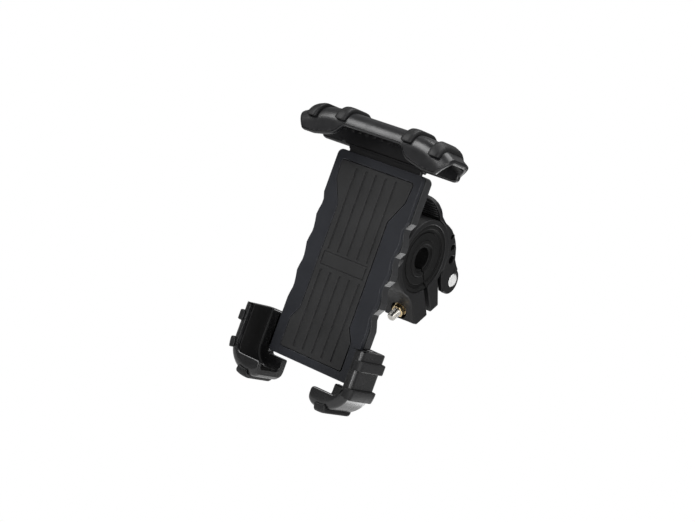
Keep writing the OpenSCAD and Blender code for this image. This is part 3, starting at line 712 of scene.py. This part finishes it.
def claw_section():
    """C-shaped section of front lip, outer wall and back foot, as (y, inward distance, its line)."""
    front, back, r, rear_r = CLAW_FRONT, CLAW_BACK, FRONT_CORNER_R, REAR_CORNER_R
    points = [(front, -0.9, "lip")]
    points += [(y, inward, "wall") for y, inward in arc((front + r, r), r, 180, 270, 7)]
    points += [(y, inward, "wall") for y, inward in arc((back - rear_r, rear_r), rear_r, 270, 360, 8)]
    points += [(back, -0.7, "foot"), (back - 0.7, -0.05, "foot"), (FOOT_FRONT + 0.6, -0.05, "foot"),
               (FOOT_FRONT, -0.7, "foot")]
    inner = WALL
    points += [(y, inward, "wall") for y, inward in arc((FOOT_FRONT - 3, inner + 3), 3, 360, 270, 5)]
    points += [(y, inward, "wall") for y, inward in arc((front + LIP_T + 1.2, inner + 1.2), 1.2, 270, 180, 4)]
    points += [(front + LIP_T, -0.9, "lip"), (front + LIP_T - 0.35, -0.25, "lip"),
               (front + LIP_T - 0.9, -0.02, "lip"), (front + 0.9, -0.02, "lip"), (front + 0.35, -0.25, "lip")]
    return points


def arm_meshes(side, up):
    """The claw's sliding arm with its rack, which meshes above or below the pinion."""
    arm = [(15, ARM_Z[0]), (29.5, ARM_Z[0]), (29.5, ARM_Z[1]), (15, ARM_Z[1])]
    root = PITCH_R + 0.75
    bar = [(-12, root), (15.5, root), (15.5, root + 3.4), (-12, root + 3.4)]
    pitch = math.pi * TOOTH_MODULE
    shapes = [arm, [(u, PINION_Z + up * v) for u, v in bar]]
    for k in range(-5, 5):
        x = (k + 0.5) * pitch
        tooth = [(x - 0.66, root + 0.02), (x + 0.66, root + 0.02), (x + 0.24, PITCH_R - 0.45),
                 (x - 0.24, PITCH_R - 0.45)]
        shapes.append([(u, PINION_Z + up * v) for u, v in tooth])
    outlines = [[(side * u, v) for u, v in shape] for shape in shapes]
    return [prism("arm", [outline], "Y", ARM_Y[0], ARM_Y[1], HOLDER) for outline in outlines]


CLAW_BANDS = [((CLAW_TOP - 4.8, CLAW_TOP - 10.0), "side"), ((CLAW_TOP - 19.4, CLAW_TOP - 24.7), "side"),
              ((29.5, 22.9), "foot")]


def band_rings(side, limits, part):
    """A raised strip over the claw's outside between two heights, or between two places along its foot."""
    outer_track = claw_track(CLAW_HALF, CLAW_BOTTOM, CLAW_R, 36)
    pick = 1 if part == "side" else 0
    track = [p for p in outer_track if min(limits) < p[pick] < max(limits)
             and (p[0] > 30 if part == "side" else p[1] < -60)]
    ends = [point_on(outer_track, value, part) for value in limits]
    track = [ends[0]] + track + [ends[1]]
    centre = Vector((CLAW_HALF - CLAW_R, CLAW_BOTTOM + CLAW_R))
    front, back, r, raised = CLAW_FRONT - 0.7, CLAW_BACK + 0.7, 3.6, 1.9
    section = [(front, 2.6)] + arc((front + r, r - raised), r, 180, 270, 5)
    section += arc((back - r, r - raised), r, 270, 360, 5) + [(back, 2.6)]
    section += [(CLAW_BACK - 0.3, 2.6), (CLAW_BACK - 0.5, 1.6), (CLAW_BACK - 2, 0.3), (CLAW_FRONT + 2, 0.3),
                (CLAW_FRONT + 0.5, 1.6), (CLAW_FRONT + 0.3, 2.6)]
    rings = []
    for place in track:
        here = Vector(place)
        lean = Vector((max(here.x - centre.x, 0), min(here.y - centre.y, 0))).normalized()
        rings.append([(side * (here - lean * d).x, y, (here - lean * d).y) for y, d in section])
    return rings


def point_on(track, value, part):
    """Where the claw's outer line reaches a height on its side, or a place along its foot."""
    pick = 1 if part == "side" else 0
    for a, b in zip(track, track[1:]):
        on_part = a[0] > 30 if part == "side" else a[1] < -60
        if on_part and min(a[pick], b[pick]) <= value <= max(a[pick], b[pick]) and a[pick] != b[pick]:
            share = (value - a[pick]) / (b[pick] - a[pick])
            return tuple(a[i] + (b[i] - a[i]) * share for i in (0, 1))
    raise ValueError(f"the claw's outer line never reaches {value}")


def make_claw(name, side, up):
    body = name.replace("claw", "corner")
    mesh = lofted(name + "_hook", claw_rings(claw_section(), side), HOLDER)
    hook = piece(name + "_hook", mesh, body, M["claw"], (name,))
    rounded(hook, 0.55, 3, 50)
    arm = piece(name + "_arm", joined(name + "_arm", arm_meshes(side, up)), body, M["frame"],
                (name,))
    rounded(arm, 0.15, 1)
    meshes = [lofted("strip", band_rings(side, limits, part), HOLDER) for limits, part in CLAW_BANDS]
    bands = piece(name + "_grip_bands", joined(name + "_grip_bands", meshes), body, M["band"],
                  (name + "_bands",))
    rounded(bands, 0.45, 2, 50)


make_claw("left_claw", -1, 1)
make_claw("right_claw", 1, -1)

# ---------- the other pieces ----------

SOFTENED = [
    # node, material, slot, edge width in mm
    ("clamp_ring", "clamp", "clamp_plastic", 0.5),
    ("cam_lever", "clamp", "lever_plastic", 0.5),
    ("cam_washer", "clamp", "clamp_plastic", 0.3),
    ("lever_pin", "pin", "pin_steel", 0.3),
    ("outer_insert", "insert", "insert_rubber", 0.4),
    ("middle_insert", "insert", "insert_rubber", 0.4),
    ("inner_insert", "insert", "insert_rubber", 0.4),
    ("ball_stud", "aluminium", "ball_aluminium", 0.2),
    ("stud_screw", "zinc", "zinc_steel", 0.15),
    ("ball_liner", "nylon", "white_nylon", 0.1),
    ("collar_nut", "clamp", "collar_plastic", 0.5),
    ("shell_screws", "zinc", "zinc_steel", 0.15),
    ("top_jaw_liner", "liner", "liner_rubber", 0.2),
    ("left_claw_liner", "liner", "liner_rubber", 0.2),
    ("right_claw_liner", "liner", "liner_rubber", 0.2),
    ("claw_pinion", "nylon", "white_nylon", 0.1),
    ("ball_socket", "shell", "shell_plastic", 0.4),
]
for node, material, slot, width in SOFTENED:
    softened(node, M[material], width)

BOLT_Z, BOLT_TIP, PIN_Y = -29.2, -21.5, 22.2
BOLT_R, THREAD_DEPTH, THREAD_PITCH = 2.45, 0.36, 0.8
NUT_SEAT, NUT_R, NUT_FLANGE_R, NUT_BORE_R = -11.5, 3.7, 4.0, 2.55


def thread_radius(turn):
    """Radius of the thread's profile at a share of its pitch: a flat crest, two flanks and a root."""
    share = turn % 1.0
    return BOLT_R - THREAD_DEPTH * between([(0, 0), (0.14, 0), (0.44, 1), (0.6, 1), (0.9, 0), (1, 0)], share)


def make_bolt():
    """Threaded clamp bolt with a chamfered tip, along Y of the clamp."""
    around, step, thread_end = 36, 0.1, 6.0
    rings = []
    count = round((thread_end - BOLT_TIP) / step)
    for i in range(count + 1):
        y = BOLT_TIP + i * step
        cap = 1.75 + (y - BOLT_TIP) * 0.9
        ring = []
        for j in range(around):
            r = min(thread_radius(y / THREAD_PITCH + j / around), cap)
            t = 2 * math.pi * j / around
            ring.append((r * math.cos(t), y, BOLT_Z + r * math.sin(t)))
        rings.append(ring)
    turns = [2 * math.pi * j / around for j in range(around)]
    rings.append([(BOLT_R * math.cos(t), PIN_Y, BOLT_Z + BOLT_R * math.sin(t)) for t in turns])
    mesh = lofted("clamp_bolt_thread", rings, CLAMP)
    bolt = piece("clamp_bolt_thread", mesh, "clamp", M["zinc"], ("clamp_bolt",))
    shaded(bolt.data, 40)


def make_nut():
    """Brass nut in its pocket: a hexagon with a round washer face, bored for the bolt."""
    middle = (0, BOLT_Z)
    hexagon = arc(middle, NUT_R, 0, 300, 5)
    bore = arc(middle, NUT_BORE_R, 0, 345, 23)
    flange = arc(middle, NUT_FLANGE_R, 0, 350, 35)
    parts = [prism("nut", [hexagon, bore], "Y", NUT_SEAT - 4, NUT_SEAT - 0.9, CLAMP),
             prism("flange", [flange, bore], "Y", NUT_SEAT - 1, NUT_SEAT - 0.06, CLAMP)]
    nut = piece("clamp_nut_hex", joined("clamp_nut_hex", parts), nodes["clamp_nut"]["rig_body"], M["brass"],
                ("clamp_nut",))
    rounded(nut, 0.25, 2, 40)


def make_tongue_ribs():
    """Low ribs across the inner face of the lever's thumb tongue, shorter towards its rounded top."""
    face_y, proud, half_pitch = 17.3, 0.4, 0.75
    bars = []
    for k in range(6):
        z = 16.6 + 2 * half_pitch * k
        half = 8.4 - max(z - 19, 0) ** 2 * 0.09
        section = [(face_y - proud, z - 0.2), (face_y - proud, z + 0.2), (face_y + 0.2, z + 0.5),
                   (face_y + 0.2, z - 0.5)]
        bars.append(prism("bar", [section], "X", -half, half, CLAMP))
    piece("tongue_ribs", joined("tongue_ribs", bars), nodes["cam_lever"]["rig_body"], M["clamp"],
          ("cam_lever",))


make_bolt()
make_nut()
make_tongue_ribs()

for node in ("left_jaw_spring", "right_jaw_spring", "claw_spring"):
    nodes[node].data.materials.clear()
    nodes[node].data.materials.append(M["spring"])

make_studio()
make_floor()
